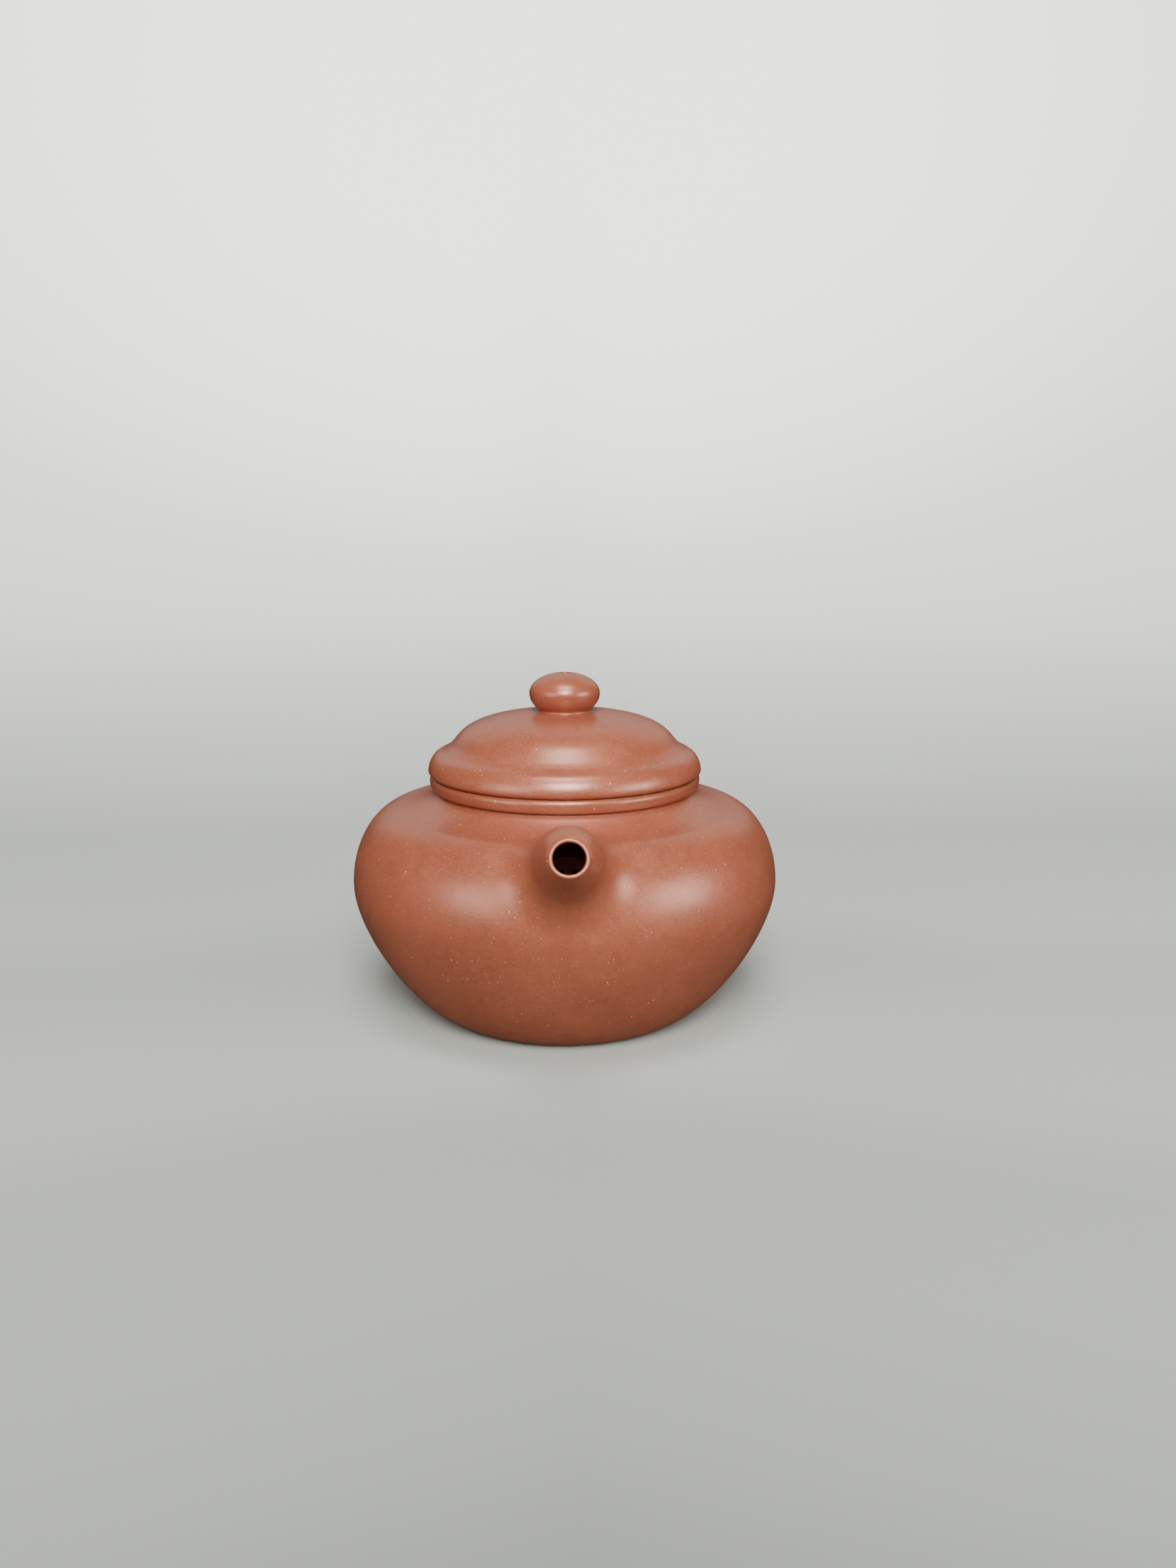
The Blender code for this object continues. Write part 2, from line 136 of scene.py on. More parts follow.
# The knob and the air hole through it and the lid
KNOB_RADIUS = reach("knob", 0) + 0.2
KNOB_EQUATOR = 75.3
KNOB_HEIGHT_ABOVE = 4.8
KNOB_HEIGHT_BELOW = 5.7
KNOB_FILLET = 0.55
AIR_HOLE_RADIUS = 1.0
AIR_HOLE_LIP = 0.45

# The spout, along its bent centre line, and its section
SPOUT_LINE = [Vector((0, -40.0, 38.0)), Vector((0, -45.0, 48.4)), Vector((0, -54.0, 50.1)),
              Vector((0, -62.5, 52.5))]
SPOUT_LENGTH = 24.0  # about what its centre line measures
SPOUT_STRAIGHT = 0.2  # the last part of it that turns to face along the tip
SPOUT_TIP_TILT = math.radians(30.0)
SPOUT_TIP_RADIUS = 4.0
SPOUT_ROOT_RADIUS = 9.4
SPOUT_TIP_WALL = 0.85
SPOUT_ROOT_WALL = 3.4
SPOUT_TAPER = 0.58
SPOUT_TAPER_EASE = 0.05  # keeps the taper from turning in sharply at the lip
SPOUT_RINGS = 30
BORE_RINGS = 12
BORE_SUNK = 0.15  # the bore ends this deep under the pot's surface
SPOUT_CLEAR = 0.9  # this far along, the spout is clear of the pot
SPOUT_SKIRT_BELOW = 5.0  # how far the smoothed join reaches, under the spout
SPOUT_SKIRT_ABOVE = 4.0  # and on top of it
SPOUT_SKIRT_SIDES = 2.0  # and how much further it reaches at the sides
SPOUT_PLACE = Vector((0, -46.4, 43.8))  # where the hole in the wall is
SPOUT_SLOPE = math.radians(41.0)  # and how steeply it rises outwards
SPOUT_HOLE_RADIUS = 4.8
SPOUT_HOLE_LENGTH = 24.0
LIP_STEPS = 12

# The ball strainer over the hole inside the pot
STRAINER_RADIUS = 6.7
STRAINER_WALL = 1.3
STRAINER_SKIRT = 6.0
STRAINER_HOLE_RADIUS = 0.8
STRAINER_RINGS = [(1, 0.0), (6, 27.0), (10, 54.0)]
STRAINER_STEPS = 64
STRAINER_HOLE_STEPS = 20
STRAINER_SUNK = 0.1  # how far its rim runs into the wall
NEAR_AXIS = 0.01

# The handle, along its centre line, and its section
HANDLE_LINE = [Vector((0, 39.0, 44.5)), Vector((0, 56.0, 57.0)), Vector((0, 80.5, 56.0)),
               Vector((0, 80.5, 38.5)), Vector((0, 80.5, 25.0)), Vector((0, 60.0, 18.5)),
               Vector((0, 41.0, 15.5))]
HANDLE_WIDTH = 4.4
HANDLE_DEPTH = 3.3
HANDLE_ROOT_GROWTH = 0.45
HANDLE_RINGS = 90
HANDLE_CLEAR = 0.9  # this far from either root, it is clear of the pot
HANDLE_SKIRT = 3.6
HANDLE_END_SHRINK = 0.6  # its hidden ends close in by this share
HANDLE_END_DEPTH = 0.9  # and lie this deep in the wall

# Where a smoothed join runs in under the wall's surface: how far on, and how deep
SKIRT_STEPS = 14
SKIRT_PULL = 0.6
SUNK = [(0.08, 0.001), (0.25, 0.008), (0.55, 0.04), (1.0, 0.13)]


def heading(slope):
    """A step of one along an outline that rises outwards at this slope."""
    return Vector((math.cos(slope), math.sin(slope)))


def curve(start, start_handle, end_handle, end, steps):
    """Points along a Bezier curve, both ends included."""
    return [point.to_2d() for point in interpolate_bezier(
        start.to_3d(), start_handle.to_3d(), end_handle.to_3d(), end.to_3d(), steps + 1)]


def quarter(centre, across, up, start, end, steps):
    """Points on an ellipse round a centre, from one angle to another in degrees."""
    points = []
    for step in range(steps + 1):
        angle = math.radians(start + (end - start) * step / steps)
        points.append(centre + Vector((across * math.cos(angle), up * math.sin(angle))))
    return points


def offset(points, distance):
    """The outline moved to its left, seen along its direction, by a distance."""
    moved = []
    for index, point in enumerate(points):
        before = points[max(index - 1, 0)]
        after = points[min(index + 1, len(points) - 1)]
        along = (after - before).normalized()
        moved.append(point + Vector((-along.y, along.x)) * distance)
    return moved


def towards(start, end, distance):
    """The point this far from a start towards an end."""
    return start + (end - start).normalized() * distance


def wall_outline():
    """The outside of the wall, from the foot up to the top of the shoulder."""
    lower = curve(FOOT, FOOT + heading(FOOT_SLOPE) * FOOT_HANDLE,
                  BELLY - Vector((0, BELLY_HANDLE_DOWN)), BELLY, OUTSIDE_STEPS)
    upper = curve(BELLY, BELLY + Vector((0, BELLY_HANDLE_UP)),
                  SHOULDER + heading(-SHOULDER_SLOPE) * SHOULDER_HANDLE, SHOULDER, OUTSIDE_STEPS)
    return lower + upper[1:]


def neck_outline():
    """The outside of the shoulder disc, from the wall's top edge up to the neck."""
    return curve(SHOULDER, SHOULDER - heading(-SHOULDER_SLOPE) * SHOULDER_HANDLE_IN,
                 NECK + heading(-NECK_SLOPE) * NECK_HANDLE, NECK, OUTSIDE_STEPS)


def lid_outline():
    """The top of the lid, from its widest line in to the middle."""
    edge = curve(EDGE, EDGE + Vector((0, EDGE_HANDLE)),
                 VALLEY + heading(-VALLEY_SLOPE) * VALLEY_HANDLE_OUT, VALLEY,
                 LID_EDGE_STEPS)
    rise = curve(VALLEY, VALLEY - heading(-VALLEY_SLOPE) * VALLEY_HANDLE_IN,
                 DOME_FOOT + heading(-DOME_FOOT_SLOPE) * DOME_FOOT_HANDLE_OUT, DOME_FOOT,
                 LID_RISE_STEPS)
    dome = curve(DOME_FOOT, DOME_FOOT - heading(-DOME_FOOT_SLOPE) * DOME_FOOT_HANDLE_IN,
                 Vector((DOME_TOP_HANDLE, DOME_TOP)), Vector((0, DOME_TOP)), LID_DOME_STEPS)
    return edge + rise[1:] + dome[1:]


def split_at(outline, radius):
    """The two halves of an outline that runs inwards, cut at a radius, with short steps at the cut."""
    for index in range(len(outline) - 1):
        outer, inner = outline[index], outline[index + 1]
        if inner.x <= radius < outer.x:
            cut = outer.lerp(inner, (outer.x - radius) / (outer.x - inner.x))
            before = towards(cut, outer, SEAM_STEP)
            after = towards(cut, inner, SEAM_STEP)
            return outline[:index + 1] + [before, cut], [cut, after] + outline[index + 1:]
    raise ValueError(radius)


def height_at(outline, radius):
    """The height of an outline at a radius."""
    for outer, inner in zip(outline, outline[1:]):
        if inner.x <= radius <= outer.x:
            return outer.lerp(inner, (outer.x - radius) / max(outer.x - inner.x, 1e-9)).y
    raise ValueError(radius)


def finish(name, builder, material):
    """Turns a bmesh into an object with outward faces, smooth except at real corners."""
    bmesh.ops.remove_doubles(builder, verts=builder.verts, dist=SAME_PLACE)
    bmesh.ops.recalc_face_normals(builder, faces=builder.faces)
    mesh = bpy.data.meshes.new(name)
    builder.to_mesh(mesh)
    builder.free()
    mesh.shade_smooth()
    mesh.set_sharp_from_angle(angle=SHARP_ANGLE)
    thing = bpy.data.objects.new(name, mesh)
    bpy.context.scene.collection.objects.link(thing)
    if material:
        mesh.materials.append(material)
    return thing


def lofted(name, rings, material=None, joined_ends=True):
    """Skins a row of rings. The last joins the first, or both ends are capped."""
    builder = bmesh.new()
    corners = [[builder.verts.new(point * METRES) for point in ring] for ring in rings]
    pairs = list(zip(corners, corners[1:]))
    if joined_ends:
        pairs.append((corners[-1], corners[0]))
    else:
        builder.faces.new(corners[0])
        builder.faces.new(corners[-1])
    for near, far in pairs:
        for index in range(len(near)):
            builder.faces.new((near[index - 1], near[index], far[index], far[index - 1]))
    return finish(name, builder, material)


def turned(name, outline, material=None, joined_ends=True, steps=TURN_STEPS):
    """Turns an outline of (radius, height) points once round Z."""
    angles = [FULL_TURN * step / steps for step in range(steps)]
    turns = [(math.cos(angle), math.sin(angle)) for angle in angles]
    rings = [[Vector((point.x * x, point.x * y, point.y)) for x, y in turns] for point in outline]
    return lofted(name, rings, material, joined_ends)


def apply_boolean(target, operation, other):
    """Cuts a target with a helper, or keeps what they share, then removes the helper."""
    modifier = target.modifiers.new(operation.lower(), "BOOLEAN")
    modifier.operation = operation
    modifier.solver = "EXACT"
    modifier.object = other
    graph = bpy.context.evaluated_depsgraph_get()
    cut = bpy.data.meshes.new_from_object(target.evaluated_get(graph))
    target.modifiers.clear()
    target.data = cut
    cut.shade_smooth()
    cut.set_sharp_from_angle(angle=SHARP_ANGLE)
    bpy.data.objects.remove(other, do_unlink=True)


def round_bars(name, places, radius, length, steps):
    """A helper: round bars, each through a centre along a direction."""
    builder = bmesh.new()
    for centre, direction in places:
        turn = UP.rotation_difference(direction).to_matrix().to_4x4()
        bmesh.ops.create_cone(builder, cap_ends=True, segments=steps, radius1=radius * METRES,
                              radius2=radius * METRES, depth=length * METRES,
                              matrix=Matrix.Translation(centre * METRES) @ turn)
    return finish(name, builder, None)


POT_OUTLINE = wall_outline() + neck_outline()[1:]


def on_pot(point):
    """How far a point is outside the pot, the nearest place on its outside, and the way out from there."""
    flat = Vector((math.hypot(point.x, point.y), point.z))
    best = None
    for start, end in zip(POT_OUTLINE, POT_OUTLINE[1:]):
        along = end - start
        part = min(max((flat - start).dot(along) / along.length_squared, 0.0), 1.0)
        place = start + along * part
        gap = (flat - place).length_squared
        if best is None or gap < best[0]:
            best = (gap, place, along)
    _, place, along = best
    out = Vector((along.y, -along.x)).normalized()
    around = Vector((point.x, point.y, 0)).normalized()
    distance = (flat - place).dot(out)
    return distance, around * place.x + UP * place.y, around * out.x + UP * out.y


def bezier_at(line, place):
    """The point and the direction at a place from 0 to 1 along a Bezier curve in space."""
    start, out, back, end = line
    rest = 1 - place
    point = start * rest ** 3 + out * 3 * rest ** 2 * place + back * 3 * rest * place ** 2 + end * place ** 3
    slope = (out - start) * rest ** 2 + (back - out) * 2 * rest * place + (end - back) * place ** 2
    return point, slope.normalized()


def crossing(column, inside, outside, depth=0.0):
    """The place along a column of a tube where it comes out of the pot, or reaches this depth in it."""
    for _ in range(HALVINGS):
        middle = (inside + outside) / 2
        if on_pot(column(middle))[0] > -depth:
            outside = middle
        else:
            inside = middle
    return (inside + outside) / 2


def walked(column, start, end, distance):
    """The place along a column that is this far in a straight line from its start place."""
    origin = column(start)
    near, far = start, end
    for _ in range(WALK_HALVINGS):
        middle = (near + far) / 2
        if (column(middle) - origin).length < distance:
            near = middle
        else:
            far = middle
    return (near + far) / 2


def skirt(column, start, away, middle, width):
    """Points of a smooth join from a tube onto the pot, and the place along the tube where it starts.

    The join runs in under the wall. start is the place where the tube's column meets the wall, away a place
    out along the tube, and middle a point on the tube's centre line there.
    """
    meeting = column(start)
    _, _, out = on_pot(meeting)
    spread = meeting - middle
    spread = (spread - out * spread.dot(out)).normalized()
    leave = walked(column, start, away, width)
    first = column(leave)
    small = (away - start) * 0.001
    down = (column(leave - small) - first).normalized()
    _, land, land_out = on_pot(meeting + spread * width)
    onward = (spread - land_out * spread.dot(land_out)).normalized()
    handles = (first + down * width * SKIRT_PULL, land - onward * width * SKIRT_PULL)
    points = interpolate_bezier(first, handles[0], handles[1], land, SKIRT_STEPS + 1)[1:]
    for step, depth in SUNK:
        _, place, way_out = on_pot(land + onward * step)
        points.append(place - way_out * depth)
    return points, leave


class Nodes:
    """Small helpers for wiring one material's nodes."""

    def __init__(self, name):
        self.material = bpy.data.materials.new(name)
        self.material.use_nodes = True
        self.tree = self.material.node_tree
        self.shader = self.tree.nodes["Principled BSDF"]

    def link(self, output, socket):
        self.tree.links.new(output, socket)

    def feed(self, value, socket):
        if isinstance(value, bpy.types.NodeSocket):
            self.link(value, socket)
        else:
            socket.default_value = value

    def place(self, shift=(0, 0, 0), scale=(1, 1, 1)):
        """The object's own coordinates in millimetres, moved and stretched."""
        source = self.tree.nodes.new("ShaderNodeTexCoord")
        mapping = self.tree.nodes.new("ShaderNodeMapping")
        mapping.inputs["Location"].default_value = shift
        mapping.inputs["Scale"].default_value = [part / METRES for part in scale]
        self.link(source.outputs["Object"], mapping.inputs["Vector"])
        return mapping.outputs["Vector"]

    def noise(self, where, scale, detail, roughness):
        node = self.tree.nodes.new("ShaderNodeTexNoise")
        node.inputs["Scale"].default_value = scale
        node.inputs["Detail"].default_value = detail
        node.inputs["Roughness"].default_value = roughness
        self.link(where, node.inputs["Vector"])
        return node.outputs["Fac"]

    def cells(self, where, scale):
        node = self.tree.nodes.new("ShaderNodeTexVoronoi")
        node.inputs["Scale"].default_value = scale
        self.link(where, node.inputs["Vector"])
        return node.outputs["Distance"], node.outputs["Color"]

    def remap(self, value, low, high, to_low=0.0, to_high=1.0, smooth=False):
        node = self.tree.nodes.new("ShaderNodeMapRange")
        node.interpolation_type = "SMOOTHSTEP" if smooth else "LINEAR"
        self.link(value, node.inputs["Value"])
        node.inputs["From Min"].default_value = low
        node.inputs["From Max"].default_value = high
        node.inputs["To Min"].default_value = to_low
        node.inputs["To Max"].default_value = to_high
        return node.outputs["Result"]

    def maths(self, operation, first, second=0.0):
        node = self.tree.nodes.new("ShaderNodeMath")
        node.operation = operation
        self.feed(first, node.inputs[0])
        self.feed(second, node.inputs[1])
        return node.outputs[0]

    def mix(self, factor, first, second, blend="MIX"):
        node = self.tree.nodes.new("ShaderNodeMix")
        node.data_type = "RGBA"
        node.blend_type = blend
        self.feed(factor, node.inputs["Factor"])
        self.feed(first, node.inputs[6])
        self.feed(second, node.inputs[7])
        return node.outputs[2]

    def split(self, colour):
        node = self.tree.nodes.new("ShaderNodeSeparateColor")
        self.link(colour, node.inputs["Color"])
        return node.outputs

    def bump(self, height, distance, normal=None):
        node = self.tree.nodes.new("ShaderNodeBump")
        node.inputs["Strength"].default_value = 1.0
        node.inputs["Distance"].default_value = distance * METRES
        self.link(height, node.inputs["Height"])
        if normal is not None:
            self.link(normal, node.inputs["Normal"])
        return node.outputs["Normal"]


CLAY_PALE = (0.345, 0.097, 0.049)
CLAY_DEEP = (0.195, 0.050, 0.024)
SPECK_PALE = (0.72, 0.44, 0.29)
SPECK_DARK = (0.060, 0.018, 0.012)
CLAY_IOR = 2.0
CLAY_GLOSS_TINT = (1.0, 0.62, 0.50, 1.0)  # iron in the clay warms its highlights


def opaque(colour):
    """A colour with full alpha."""
    return (*colour, 1.0)


def specks(nodes, shift, scale, share, radius):
    """A mask of small round grains: this share of the cells holds one, up to this radius in millimetres."""
    distance, colour = nodes.cells(nodes.place(shift), scale)
    chance = nodes.split(colour)
    chosen = nodes.remap(chance[0], 1 - share, 1 - share + 0.001)
    size = nodes.remap(chance[1], 0.0, 1.0, radius * scale * 0.45, radius * scale)
    inside = nodes.maths("SUBTRACT", 1.0, nodes.maths("DIVIDE", distance, size))
    return nodes.maths("MULTIPLY", chosen, nodes.remap(inside, 0.0, 0.35, smooth=True))


def clay(name, lightness=1.0, roughness=0.35):
    """Unglazed zisha clay: mottled red-brown, finely sandy, with pale and dark grains and a rubbed sheen."""
    nodes = Nodes(name)
    broad = nodes.noise(nodes.place((11, 3, 7)), 0.055, 2.0, 0.5)
    patchy = nodes.noise(nodes.place((4, 19, 2)), 0.4, 3.0, 0.55)
    sandy = nodes.noise(nodes.place((8, 5, 31)), 2.0, 3.0, 0.65)
    fine = nodes.noise(nodes.place((2, 27, 9)), 9.0, 1.0, 0.5)
    rubbed = nodes.noise(nodes.place((5, 5, 5), (0.25, 0.25, 2.4)), 1.0, 2.0, 0.5)
    tone = nodes.maths("ADD", nodes.remap(broad, 0.3, 0.7, -0.30, 0.30),
                       nodes.remap(patchy, 0.3, 0.7, -0.22, 0.22))
    tone = nodes.maths("ADD", tone, nodes.remap(sandy, 0.25, 0.75, -0.60, 0.60))
    warm = nodes.remap(tone, -1.0, 1.0, 0.0, 1.0)
    colour = nodes.mix(warm, opaque([part * lightness for part in CLAY_DEEP]),
                       opaque([part * lightness for part in CLAY_PALE]))
    pale = specks(nodes, (3, 1, 4), scale=0.9, share=0.10, radius=0.22)
    small_pale = specks(nodes, (15, 9, 2), scale=1.9, share=0.10, radius=0.13)
    dark = specks(nodes, (6, 5, 3), scale=1.0, share=0.05, radius=0.16)
    colour = nodes.mix(nodes.maths("MULTIPLY", dark, 0.7), colour, opaque(SPECK_DARK))
    colour = nodes.mix(nodes.maths("MULTIPLY", small_pale, 0.7), colour, opaque(SPECK_PALE))
    colour = nodes.mix(nodes.maths("MULTIPLY", pale, 0.9), colour, opaque(SPECK_PALE))
    nodes.link(colour, nodes.shader.inputs["Base Color"])
    sheen = nodes.maths("ADD", nodes.remap(sandy, 0.25, 0.75, -0.05, 0.05),
                        nodes.remap(broad, 0.3, 0.7, -0.03, 0.03))
    sheen = nodes.maths("ADD", sheen, nodes.remap(rubbed, 0.3, 0.7, -0.02, 0.02))
    nodes.link(nodes.maths("ADD", sheen, roughness), nodes.shader.inputs["Roughness"])
    normal = nodes.bump(nodes.noise(nodes.place((21, 8, 13)), 0.05, 1.0, 0.4), 0.20)
    normal = nodes.bump(rubbed, 0.010, normal=normal)
    normal = nodes.bump(sandy, 0.024, normal=normal)
    normal = nodes.bump(fine, 0.004, normal=normal)
    nodes.link(normal, nodes.shader.inputs["Normal"])
    nodes.shader.inputs["IOR"].default_value = CLAY_IOR
    nodes.shader.inputs["Specular Tint"].default_value = CLAY_GLOSS_TINT
    return nodes.material


def make_base(material):
    """The round slab that the pot stands on, very slightly hollow underneath."""
    edge = BASE_RADIUS + BASE_SUNK
    outline = [Vector((BASE_MIDDLE, BASE_HOLLOW)), Vector((BASE_RADIUS * 0.5, BASE_HOLLOW)),
               Vector((BASE_RADIUS - HOLLOW_INSET, BASE_HOLLOW)), Vector((BASE_RADIUS - FOOT_WIDTH, 0.0)),
               Vector((edge, 0.0)), Vector((edge, BASE_THICKNESS)),
               Vector((BASE_RADIUS * 0.5, BASE_THICKNESS)), Vector((BASE_MIDDLE, BASE_THICKNESS))]
    return turned("pot_base", outline, material, joined_ends=False)


def spout_direction():
    """The way out through the hole that leads into the spout."""
    return Vector((0, -math.cos(SPOUT_SLOPE), math.sin(SPOUT_SLOPE)))


def make_wall(material):
    """The strip of clay beaten out to the belly and in to the shoulder."""
    outside = wall_outline()
    outside.insert(-1, towards(outside[-1], outside[-2], SEAM_STEP))
    inner = offset(wall_outline(), WALL)
    top = inner[-1]
    inside = [point for point in inner if point.y > BASE_THICKNESS][::INSIDE_EVERY]
    inside = [point for point in inside if (point - top).length > TOP_CLEARANCE] + [top]
    floor = [Vector((BASE_RADIUS, BASE_THICKNESS)), Vector((BASE_RADIUS, 0))]
    wall = turned("pot_wall", outside + inside[::-1] + floor, material)
    hole_place = [(SPOUT_PLACE, spout_direction())]
    hole = round_bars("hole", hole_place, SPOUT_HOLE_RADIUS, SPOUT_HOLE_LENGTH, TUBE_STEPS)
    apply_boolean(wall, "DIFFERENCE", hole)
    return wall


def make_shoulder(material):
    """The slab that closes the shoulder, with the mouth cut through it."""
    outside = neck_outline()
    inner_edge = offset(wall_outline(), WALL)[-1]
    outside.insert(1, towards(outside[0], outside[1], SEAM_STEP))
    outline = outside + [Vector((MOUTH_RADIUS, NECK.y))] + SHOULDER_INSIDE[::-1] + [inner_edge]
    return turned("pot_shoulder", outline, material)


def make_ring(material):
    """The rounded ring laid on the neck, which carries the lid."""
    centre = Vector((RING_RADIUS - RING_ROUND, RING_EQUATOR))
    outside = quarter(centre, RING_ROUND, RING_EQUATOR - NECK.y, -90, 0, 14)
    outside += quarter(centre, RING_ROUND, RING_TOP - RING_EQUATOR, 0, 90, 12)[1:]
    lip = quarter(Vector((MOUTH_RADIUS + RING_LIP, RING_TOP - RING_LIP)), RING_LIP, RING_LIP, 90, 180, 6)
    return turned("pot_ring", [Vector((MOUTH_RADIUS, NECK.y))] + outside + lip, material)


def spout_section(place):
    """The spout's centre, direction, outer radius and bore radius, from its root at 0 to its tip at 1."""
    centre, along = bezier_at(SPOUT_LINE, place)
    tip = Vector((0, -math.cos(SPOUT_TIP_TILT), math.sin(SPOUT_TIP_TILT)))
    along = along.lerp(tip, max(0.0, place - 1 + SPOUT_STRAIGHT) / SPOUT_STRAIGHT).normalized()
    full = (1 + SPOUT_TAPER_EASE) ** SPOUT_TAPER - SPOUT_TAPER_EASE ** SPOUT_TAPER
    left = ((1 - place + SPOUT_TAPER_EASE) ** SPOUT_TAPER - SPOUT_TAPER_EASE ** SPOUT_TAPER) / full
    radius = SPOUT_TIP_RADIUS + (SPOUT_ROOT_RADIUS - SPOUT_TIP_RADIUS) * left
    wall = SPOUT_TIP_WALL + (SPOUT_ROOT_WALL - SPOUT_TIP_WALL) * left
    return centre, along, radius, radius - wall


def make_spout(material):
    """The short bent spout, with a rounded lip, a bore right through and a smoothed join to the wall."""
    columns = []
    for step in range(TUBE_STEPS):
        angle = FULL_TURN * step / TUBE_STEPS

        def tube(place, which):
            centre, along, *radii = spout_section(place)
            top = ACROSS.cross(along).normalized()
            if top.z < 0:
                top = -top
            return centre + (ACROSS * math.cos(angle) + top * math.sin(angle)) * radii[which]

        def outer(place):
            return tube(place, 0)

        def bore(place):
            return tube(place, 1)

        above = (1 + math.sin(angle)) / 2
        width = SPOUT_SKIRT_BELOW + (SPOUT_SKIRT_ABOVE - SPOUT_SKIRT_BELOW) * above ** 1.5
        width += SPOUT_SKIRT_SIDES * math.cos(angle) ** 2
        start = crossing(outer, 0.0, SPOUT_CLEAR)
        join, leave = skirt(outer, start, 1.0, spout_section(start)[0], width)
        centre, along, radius, bore_radius = spout_section(1.0)
        half = (radius - bore_radius) / 2
        top = ACROSS.cross(along).normalized()
        top = -top if top.z < 0 else top
        side = ACROSS * math.cos(angle) + top * math.sin(angle)
        lip = []
        for turn in range(LIP_STEPS + 1):
            bend = math.pi * turn / LIP_STEPS
            lip.append(centre + side * (bore_radius + half + half * math.cos(bend))
                       + along * half * (math.sin(bend) - 1))
        tip_end = 1 - half / SPOUT_LENGTH
        outside = [outer(leave + (tip_end - leave) * ring / SPOUT_RINGS) for ring in range(SPOUT_RINGS)]
        root = crossing(bore, 0.0, SPOUT_CLEAR, BORE_SUNK)
        inside = [bore(tip_end + (root - tip_end) * ring / BORE_RINGS) for ring in range(1, BORE_RINGS + 1)]
        columns.append(join[::-1] + outside + lip + inside)
    rings = [[column[index] for column in columns] for index in range(len(columns[0]))]
    return lofted("pot_spout", rings, material)


def make_strainer(material):
    """The pierced ball that keeps the leaves out of the spout."""
    middle = Vector((0, STRAINER_SKIRT))
    bore = STRAINER_RADIUS - STRAINER_WALL
    outer = quarter(middle, STRAINER_RADIUS, STRAINER_RADIUS, 0, 88, 16)
    inner = quarter(middle, bore, bore, 88, 0, 16)
    inwards = -spout_direction()
    start = SPOUT_PLACE + inwards * (WALL - STRAINER_SKIRT)
    turn = UP.rotation_difference(inwards)
    outline = [Vector((STRAINER_RADIUS, 0))] + outer + inner + [Vector((bore, 0))]
    rings = []
    for point in outline:
        ring = []
        for step in range(STRAINER_STEPS):
            angle = FULL_TURN * step / STRAINER_STEPS
            local = Vector((point.x * math.cos(angle), point.x * math.sin(angle), point.y))
            ring.append(start + turn @ local)
        rings.append(ring)
    strainer = lofted("pot_strainer", rings, material)
    places = []
    centre = start + inwards * STRAINER_SKIRT
    for count, tilt in STRAINER_RINGS:
        for index in range(count):
            local = Euler((0, math.radians(tilt), FULL_TURN * index / count), "XYZ").to_matrix() @ UP
            outwards = turn @ local
            places.append((centre + outwards * STRAINER_RADIUS, outwards))
    holes = round_bars("holes", places, STRAINER_HOLE_RADIUS, STRAINER_WALL * 4, STRAINER_HOLE_STEPS)
    apply_boolean(strainer, "DIFFERENCE", holes)
    inside = offset(POT_OUTLINE, WALL - STRAINER_SUNK)[::INSIDE_EVERY]
    ends = [Vector((NEAR_AXIS, inside[0].y)), Vector((NEAR_AXIS, inside[-1].y))]
    keeper = turned("keeper", ends[:1] + inside + ends[1:], joined_ends=False)
    apply_boolean(strainer, "INTERSECT", keeper)
    return strainer


def handle_section(place):
    """The handle's centre, direction and fullness, from 0 at the top root to 2 at the bottom root."""
    if place < 1:
        centre, along = bezier_at(HANDLE_LINE[0:4], place)
    else:
        centre, along = bezier_at(HANDLE_LINE[3:7], place - 1)
    return centre, along, 1 + HANDLE_ROOT_GROWTH * abs(place - 1) ** 4


def make_handle(material):
    """The ear-shaped handle, oval in section, with a smoothed join at each root."""
    columns = []
    for step in range(TUBE_STEPS):
        angle = FULL_TURN * step / TUBE_STEPS

        def tube(place):
            centre, along, fuller = handle_section(place)
            top = ACROSS.cross(along).normalized()
            out = ACROSS * HANDLE_WIDTH * math.cos(angle) + top * HANDLE_DEPTH * math.sin(angle)
            return centre + out * fuller

        upper = crossing(tube, 0.0, HANDLE_CLEAR)
        lower = crossing(tube, 2.0, 2.0 - HANDLE_CLEAR)
        first, leave = skirt(tube, upper, 1.0, handle_section(upper)[0], HANDLE_SKIRT)
        last, arrive = skirt(tube, lower, 1.0, handle_section(lower)[0], HANDLE_SKIRT)
        between = [tube(leave + (arrive - leave) * ring / HANDLE_RINGS) for ring in range(HANDLE_RINGS + 1)]
        columns.append(first[::-1] + between + last)
    rings = [[column[index] for column in columns] for index in range(len(columns[0]))]
    for end in (0, -1):
        middle = sum(rings[end], Vector()) / TUBE_STEPS
        shrunk = []
        for point in rings[end]:
            _, place, out = on_pot(point.lerp(middle, HANDLE_END_SHRINK))
            shrunk.append(place - out * HANDLE_END_DEPTH)
        rings.insert(0 if end == 0 else len(rings), shrunk)
    return lofted("pot_handle", rings, material, joined_ends=False)


def make_lid_flange(material):
    """The ring under the lid that sits inside the mouth and keeps the lid in place."""
    outer = quarter(Vector((BEZEL_RADIUS - BEZEL_ROUND, BEZEL_FOOT + BEZEL_ROUND)),
                    BEZEL_ROUND, BEZEL_ROUND, -90, 0, 6)
    inner = quarter(Vector((BEZEL_BORE + BEZEL_ROUND, BEZEL_FOOT + BEZEL_ROUND)),
                    BEZEL_ROUND, BEZEL_ROUND, 180, 270, 6)
    outline = inner + outer + [Vector((BEZEL_RADIUS, BEZEL_TOP)), Vector((BEZEL_BORE, BEZEL_TOP))]
    return turned("lid_flange", outline, material)


